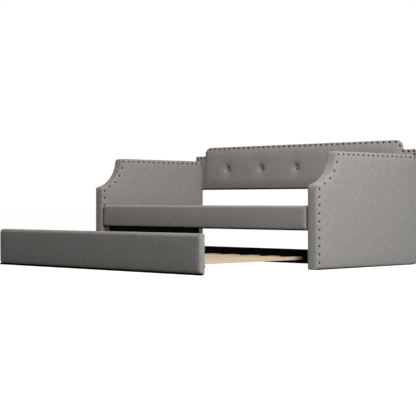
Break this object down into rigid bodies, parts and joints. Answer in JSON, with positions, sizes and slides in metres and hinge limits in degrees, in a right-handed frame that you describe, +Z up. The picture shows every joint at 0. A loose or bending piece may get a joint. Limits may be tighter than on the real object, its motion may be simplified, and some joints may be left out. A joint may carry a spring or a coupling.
{
  "type": "trundle bed",
  "caption": "Upholstered daybed with swooping arms, tufted back and nailhead trim, and a slatted trundle on casters that rolls out from under it.",
  "frame": {"origin": "on the floor, at the middle of the bed's outline with the trundle rolled out", "axes": "+X to the right as seen from the front, along the bed's length; +Y from the trundle's face to the back panel; +Z up"},
  "size_m": [2.116, 1.985, 0.846],
  "materials": {
    "upholstery_fabric": "woven, matte",
    "button_fabric": "woven, matte",
    "dust_cloth": "non-woven, matte",
    "core_wood": "raw",
    "slat_wood": "planed pine",
    "black_wood": "painted black, satin",
    "steel": "powder coated",
    "black_plastic": "matte",
    "caster_rubber": "matte"
  },
  "bodies": {
    "daybed": {"left_arm_cover": "upholstery_fabric", "left_arm_frame": "core_wood", "left_arm_dust_cloth": "dust_cloth", "left_front_glide": "black_plastic", "left_back_glide": "black_plastic", "right_arm_cover": "upholstery_fabric", "right_arm_frame": "core_wood", "right_arm_dust_cloth": "dust_cloth", "right_front_glide": "black_plastic", "right_back_glide": "black_plastic", "back_panel_cover": "upholstery_fabric", "back_panel_frame": "core_wood", "tuft_button_1": "button_fabric", "tuft_button_2": "button_fabric", "tuft_button_3": "button_fabric", "tuft_button_4": "button_fabric", "tuft_button_5": "button_fabric", "front_rail_cover": "upholstery_fabric", "front_rail_core": "core_wood", "bed_front_ledger": "core_wood", "front_left_rail_bracket": "steel", "front_right_rail_bracket": "steel", "back_rail_cover": "upholstery_fabric", "back_rail_core": "core_wood", "bed_back_ledger": "core_wood", "back_left_rail_bracket": "steel", "back_right_rail_bracket": "steel", "bed_slat_01": "slat_wood", "bed_slat_02": "slat_wood", "bed_slat_03": "slat_wood", "bed_slat_04": "slat_wood", "bed_slat_05": "slat_wood", "bed_slat_06": "slat_wood", "bed_slat_07": "slat_wood", "bed_slat_08": "slat_wood", "bed_slat_09": "slat_wood", "bed_slat_10": "slat_wood"},
    "trundle": {"trundle_front_cover": "upholstery_fabric", "trundle_front_core": "core_wood", "trundle_back_rail": "black_wood", "trundle_front_ledger": "black_wood", "trundle_back_ledger": "black_wood", "trundle_slat_01": "slat_wood", "trundle_slat_02": "slat_wood", "trundle_slat_03": "slat_wood", "trundle_slat_04": "slat_wood", "trundle_slat_05": "slat_wood", "trundle_slat_06": "slat_wood", "trundle_slat_07": "slat_wood", "trundle_slat_08": "slat_wood", "trundle_slat_09": "slat_wood", "trundle_slat_10": "slat_wood", "front_left_caster_bracket": "steel", "front_right_caster_bracket": "steel", "back_left_caster_bracket": "steel", "back_right_caster_bracket": "steel"},
    "front_left_caster_wheel": {"front_left_caster_wheel": "caster_rubber"},
    "front_right_caster_wheel": {"front_right_caster_wheel": "caster_rubber"},
    "back_left_caster_wheel": {"back_left_caster_wheel": "caster_rubber"},
    "back_right_caster_wheel": {"back_right_caster_wheel": "caster_rubber"}
  },
  "joints": [
    {"name": "trundle_slide", "type": "slide", "parent": "daybed", "child": "trundle", "axis": [0, -1, 0], "range_m": [-0.925, 0.25]},
    {"name": "front_left_wheel_spin", "type": "hinge", "parent": "trundle", "child": "front_left_caster_wheel", "pos_m": [-0.8, -0.9357, 0.013], "axis": [1, 0, 0], "continuous": true},
    {"name": "front_right_wheel_spin", "type": "hinge", "parent": "trundle", "child": "front_right_caster_wheel", "pos_m": [0.8, -0.9357, 0.013], "axis": [1, 0, 0], "continuous": true},
    {"name": "back_left_wheel_spin", "type": "hinge", "parent": "trundle", "child": "back_left_caster_wheel", "pos_m": [-0.915, 0.0465, 0.013], "axis": [1, 0, 0], "continuous": true},
    {"name": "back_right_wheel_spin", "type": "hinge", "parent": "trundle", "child": "back_right_caster_wheel", "pos_m": [0.915, 0.0465, 0.013], "axis": [1, 0, 0], "continuous": true}
  ],
  "couplings": [
    {"joint": "front_left_wheel_spin", "follows": "trundle_slide", "rad_per_m": 76.923},
    {"joint": "front_right_wheel_spin", "follows": "trundle_slide", "rad_per_m": 76.923},
    {"joint": "back_left_wheel_spin", "follows": "trundle_slide", "rad_per_m": 76.923},
    {"joint": "back_right_wheel_spin", "follows": "trundle_slide", "rad_per_m": 76.923}
  ]
}
